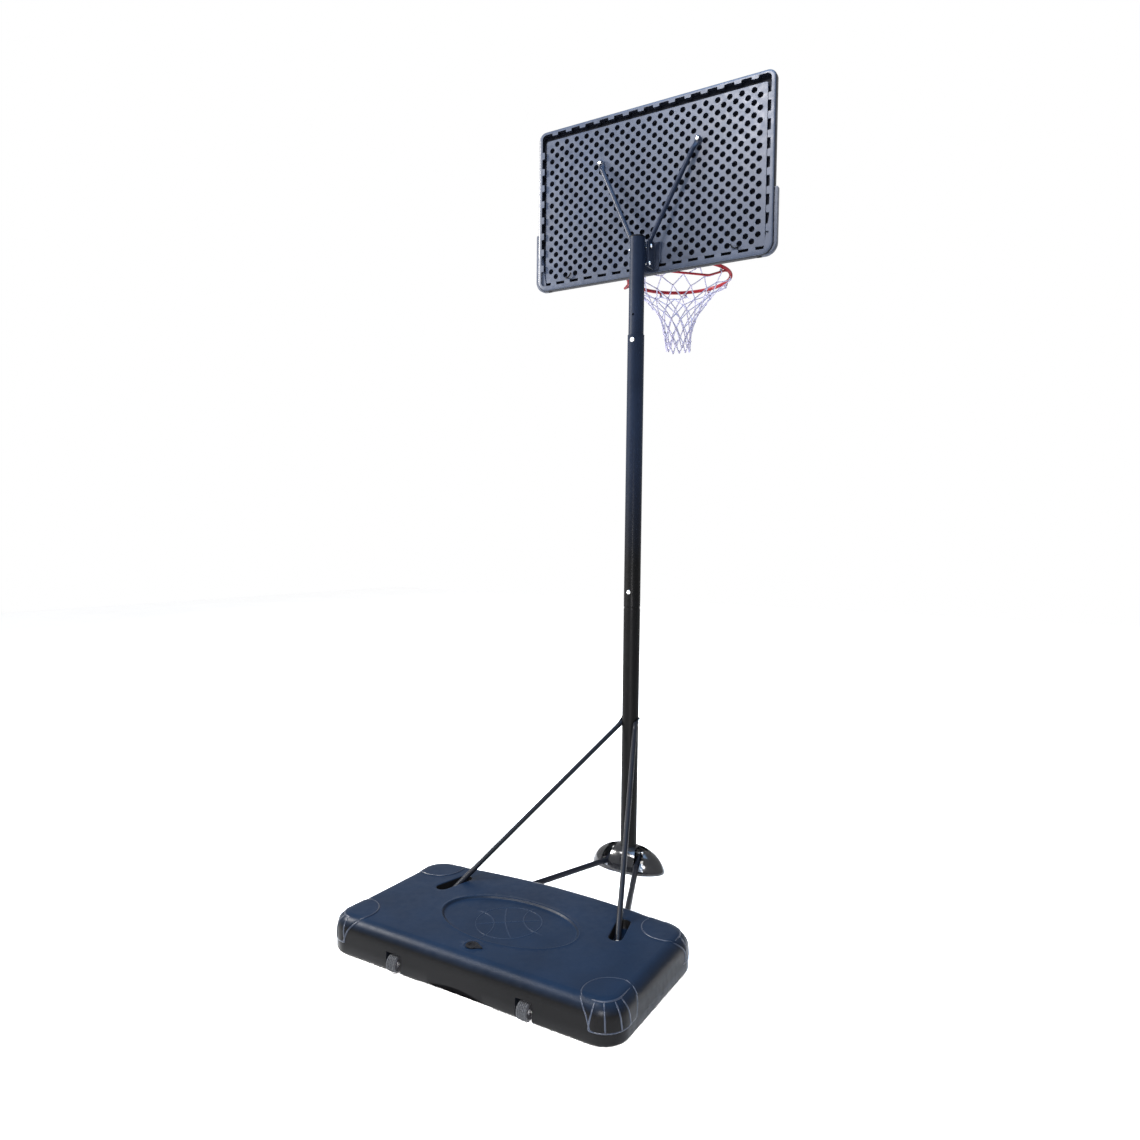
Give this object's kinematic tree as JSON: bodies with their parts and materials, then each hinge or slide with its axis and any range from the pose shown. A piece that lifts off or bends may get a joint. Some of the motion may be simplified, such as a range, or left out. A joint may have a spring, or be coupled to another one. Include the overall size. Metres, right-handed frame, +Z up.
{
  "type": "portable basketball hoop",
  "caption": "Free-standing basketball hoop: ballast tank on rollers, telescoping pole, moulded backboard, welded rim and knotted net.",
  "frame": {"origin": "centre of the overall footprint, on the floor", "axes": "+Z up; the hoop faces -Y and the base tank is at +Y; +X across the board"},
  "size_m": [1.126, 1.8852, 3.256],
  "materials": {
    "tank": "satin moulded black",
    "cap": "satin black",
    "wheel": "dark grey, treaded",
    "pole": "semi-gloss black",
    "foot": "glossy black",
    "strut": "semi-gloss black",
    "zinc": "bright zinc plate",
    "board": "satin moulded",
    "bracket": "semi-gloss black",
    "rim": "semi-gloss red",
    "net": "white knotted cord"
  },
  "bodies": {
    "base": {"back_strut_bolt": "zinc", "back_strut_left": "strut", "back_strut_nut": "zinc", "back_strut_right": "strut", "base_tank": "tank", "foot_bolt": "zinc", "foot_nut": "zinc", "height_bolt": "zinc", "height_nut": "zinc", "lower_strut_bolt_left": "zinc", "lower_strut_bolt_right": "zinc", "lower_strut_left": "strut", "lower_strut_right": "strut", "pole_foot": "foot", "pole_joint_bolt": "zinc", "pole_joint_nut": "zinc", "pole_lower": "pole", "pole_middle": "pole", "strut_base_bolt_left": "zinc", "strut_base_bolt_right": "zinc", "wheel_axle_left": "zinc", "wheel_axle_right": "zinc"},
    "head": {"backboard": "board", "board_bracket": "bracket", "board_strut_bolt_left": "zinc", "board_strut_bolt_right": "zinc", "board_strut_left": "strut", "board_strut_nut_left": "zinc", "board_strut_nut_right": "zinc", "board_strut_right": "strut", "bracket_bolt_lower": "zinc", "bracket_bolt_upper": "zinc", "bracket_nut_lower": "zinc", "bracket_nut_upper": "zinc", "net": "net", "pole_top": "pole", "pole_top_cap": "cap", "rim": "rim", "rim_bolt_left_high": "zinc", "rim_bolt_left_low": "zinc", "rim_bolt_right_high": "zinc", "rim_bolt_right_low": "zinc", "rim_nut_left_high": "zinc", "rim_nut_left_low": "zinc", "rim_nut_right_high": "zinc", "rim_nut_right_low": "zinc"},
    "wheel_left": {"wheel_left": "wheel"},
    "wheel_right": {"wheel_right": "wheel"},
    "fill_cap": {"fill_cap": "cap"}
  },
  "joints": [
    {"name": "height_slide", "type": "slide", "parent": "base", "child": "head", "axis": [0, 0, 1], "range_m": [-0.105, 0.42]},
    {"name": "wheel_left_spin", "type": "hinge", "parent": "base", "child": "wheel_left", "pos_m": [0.2525, 0.91455, 0.03], "axis": [1, 0, 0], "continuous": true},
    {"name": "wheel_right_spin", "type": "hinge", "parent": "base", "child": "wheel_right", "pos_m": [-0.2525, 0.91455, 0.03], "axis": [1, 0, 0], "continuous": true},
    {"name": "fill_cap_lift", "type": "slide", "parent": "base", "child": "fill_cap", "axis": [0, 0, 1], "range_m": [0, 0.03]}
  ]
}
